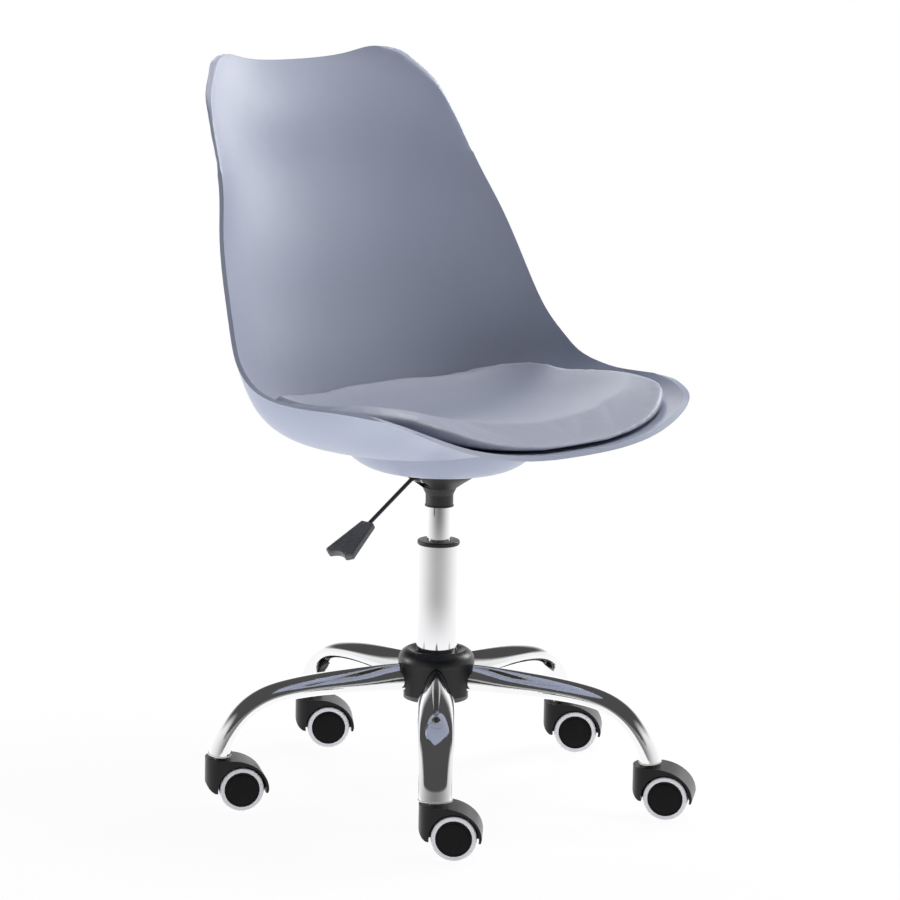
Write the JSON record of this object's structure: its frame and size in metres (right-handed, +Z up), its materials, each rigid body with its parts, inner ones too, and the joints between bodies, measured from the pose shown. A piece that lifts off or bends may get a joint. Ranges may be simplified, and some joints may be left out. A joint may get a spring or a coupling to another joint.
{
  "type": "adjustable swivel stool",
  "caption": "Swivel shell chair on castors: moulded bucket seat with high back and pad, gas lift with lever, chromed star base with twin-wheel castors.",
  "frame": {"origin": "on the floor, under the axis of the column", "axes": "+Z up along the column, the seat faces -Y, +X to the sitter's left"},
  "size_m": [0.5572, 0.5531, 0.8366],
  "materials": {
    "shell": "satin moulded plastic, slightly pebbled",
    "cushion": "smooth satin faux leather over foam",
    "zinc_steel": "zinc-plated pressed steel",
    "screw_steel": "plated steel",
    "black_steel": "black powder coat",
    "hub_steel": "dark painted steel",
    "grip_plastic": "dark grey moulded plastic",
    "chrome": "mirror chrome plating",
    "rod_steel": "ground steel",
    "spring_steel": "dark spring steel",
    "black_plastic": "satin black moulded plastic",
    "nylon": "natural nylon",
    "hood_plastic": "glossy black moulded plastic",
    "wheel_plastic": "black moulded plastic",
    "tread": "light grey soft tread"
  },
  "bodies": {
    "base": {"column_tube": "chrome", "column_collar": "black_plastic", "guide_bush": "nylon", "thrust_bearing": "rod_steel", "bearing_washer": "zinc_steel", "hub_core": "hub_steel", "hub_cover": "black_plastic", "castor_sockets": "nylon", "castor_stems": "zinc_steel", "leg_1": "chrome", "leg_2": "chrome", "leg_3": "chrome", "leg_4": "chrome", "leg_5": "chrome"},
    "spindle": {"piston_rod": "rod_steel", "piston": "rod_steel", "retaining_clip": "spring_steel"},
    "seat": {"seat_shell": "shell", "seat_cushion": "cushion", "seat_plate": "zinc_steel", "plate_screws": "screw_steel", "taper_socket": "black_steel", "lever_bracket": "zinc_steel", "lever_pin": "screw_steel", "gas_cylinder": "chrome", "rod_guide": "black_plastic"},
    "lever": {"lever_rod": "black_steel", "lever_grip": "grip_plastic"},
    "button": {"release_button": "screw_steel"},
    "castor_1": {"castor_hood_1": "hood_plastic", "castor_axle_1": "rod_steel"},
    "castor_1_left": {"wheel_1_left": "wheel_plastic", "tread_1_left": "tread"},
    "castor_1_right": {"wheel_1_right": "wheel_plastic", "tread_1_right": "tread"},
    "castor_2": {"castor_hood_2": "hood_plastic", "castor_axle_2": "rod_steel"},
    "castor_2_left": {"wheel_2_left": "wheel_plastic", "tread_2_left": "tread"},
    "castor_2_right": {"wheel_2_right": "wheel_plastic", "tread_2_right": "tread"},
    "castor_3": {"castor_hood_3": "hood_plastic", "castor_axle_3": "rod_steel"},
    "castor_3_left": {"wheel_3_left": "wheel_plastic", "tread_3_left": "tread"},
    "castor_3_right": {"wheel_3_right": "wheel_plastic", "tread_3_right": "tread"},
    "castor_4": {"castor_hood_4": "hood_plastic", "castor_axle_4": "rod_steel"},
    "castor_4_left": {"wheel_4_left": "wheel_plastic", "tread_4_left": "tread"},
    "castor_4_right": {"wheel_4_right": "wheel_plastic", "tread_4_right": "tread"},
    "castor_5": {"castor_hood_5": "hood_plastic", "castor_axle_5": "rod_steel"},
    "castor_5_left": {"wheel_5_left": "wheel_plastic", "tread_5_left": "tread"},
    "castor_5_right": {"wheel_5_right": "wheel_plastic", "tread_5_right": "tread"}
  },
  "joints": [
    {"name": "seat_swivel", "type": "hinge", "parent": "base", "child": "spindle", "pos_m": [0, 0, 0.12], "axis": [0, 0, 1], "continuous": true},
    {"name": "height_slide", "type": "slide", "parent": "spindle", "child": "seat", "axis": [0, 0, 1], "range_m": [-0.038, 0.08]},
    {"name": "lever_pull", "type": "hinge", "parent": "seat", "child": "lever", "pos_m": [-0.03, 0, 0.373], "axis": [0, 1, 0], "range_deg": [0, 8], "stiffness_Nm_per_rad": 3, "springref_deg": -2.86},
    {"name": "button_press", "type": "slide", "parent": "seat", "child": "button", "axis": [0, 0, -1], "range_m": [0, 0.0046]},
    {"name": "castor_1_swivel", "type": "hinge", "parent": "base", "child": "castor_1", "pos_m": [-0.17803, -0.18117, 0.055], "axis": [0, 0, 1], "continuous": true},
    {"name": "wheel_1_left_roll", "type": "hinge", "parent": "castor_1", "child": "castor_1_left", "pos_m": [-0.16337, -0.19689, 0.025], "axis": [0.7314, 0.682, 0], "continuous": true},
    {"name": "wheel_1_right_roll", "type": "hinge", "parent": "castor_1", "child": "castor_1_right", "pos_m": [-0.16337, -0.19689, 0.025], "axis": [0.7314, 0.682, 0], "continuous": true},
    {"name": "castor_2_swivel", "type": "hinge", "parent": "base", "child": "castor_2", "pos_m": [0.11728, -0.2253, 0.055], "axis": [0, 0, 1], "continuous": true},
    {"name": "wheel_2_left_roll", "type": "hinge", "parent": "castor_2", "child": "castor_2_left", "pos_m": [0.12992, -0.24269, 0.025], "axis": [0.809, 0.5878, 0], "continuous": true},
    {"name": "wheel_2_right_roll", "type": "hinge", "parent": "castor_2", "child": "castor_2_right", "pos_m": [0.12992, -0.24269, 0.025], "axis": [0.809, 0.5878, 0], "continuous": true},
    {"name": "castor_3_swivel", "type": "hinge", "parent": "base", "child": "castor_3", "pos_m": [0.25052, 0.04192, 0.055], "axis": [0, 0, 1], "continuous": true},
    {"name": "wheel_3_left_roll", "type": "hinge", "parent": "castor_3", "child": "castor_3_left", "pos_m": [0.26462, 0.0257, 0.025], "axis": [0.7547, 0.6561, 0], "continuous": true},
    {"name": "wheel_3_right_roll", "type": "hinge", "parent": "castor_3", "child": "castor_3_right", "pos_m": [0.26462, 0.0257, 0.025], "axis": [0.7547, 0.6561, 0], "continuous": true},
    {"name": "castor_4_swivel", "type": "hinge", "parent": "base", "child": "castor_4", "pos_m": [0.03754, 0.25121, 0.055], "axis": [0, 0, 1], "continuous": true},
    {"name": "wheel_4_left_roll", "type": "hinge", "parent": "castor_4", "child": "castor_4_left", "pos_m": [0.05377, 0.2371, 0.025], "axis": [0.6561, 0.7547, 0], "continuous": true},
    {"name": "wheel_4_right_roll", "type": "hinge", "parent": "castor_4", "child": "castor_4_right", "pos_m": [0.05377, 0.2371, 0.025], "axis": [0.6561, 0.7547, 0], "continuous": true},
    {"name": "castor_5_swivel", "type": "hinge", "parent": "base", "child": "castor_5", "pos_m": [-0.22731, 0.11333, 0.055], "axis": [0, 0, 1], "continuous": true},
    {"name": "wheel_5_left_roll", "type": "hinge", "parent": "castor_5", "child": "castor_5_left", "pos_m": [-0.20928, 0.10162, 0.025], "axis": [0.5446, 0.8387, 0], "continuous": true},
    {"name": "wheel_5_right_roll", "type": "hinge", "parent": "castor_5", "child": "castor_5_right", "pos_m": [-0.20928, 0.10162, 0.025], "axis": [0.5446, 0.8387, 0], "continuous": true}
  ],
  "couplings": [
    {"joint": "button_press", "follows": "lever_pull", "m_per_rad": 0.0325}
  ]
}
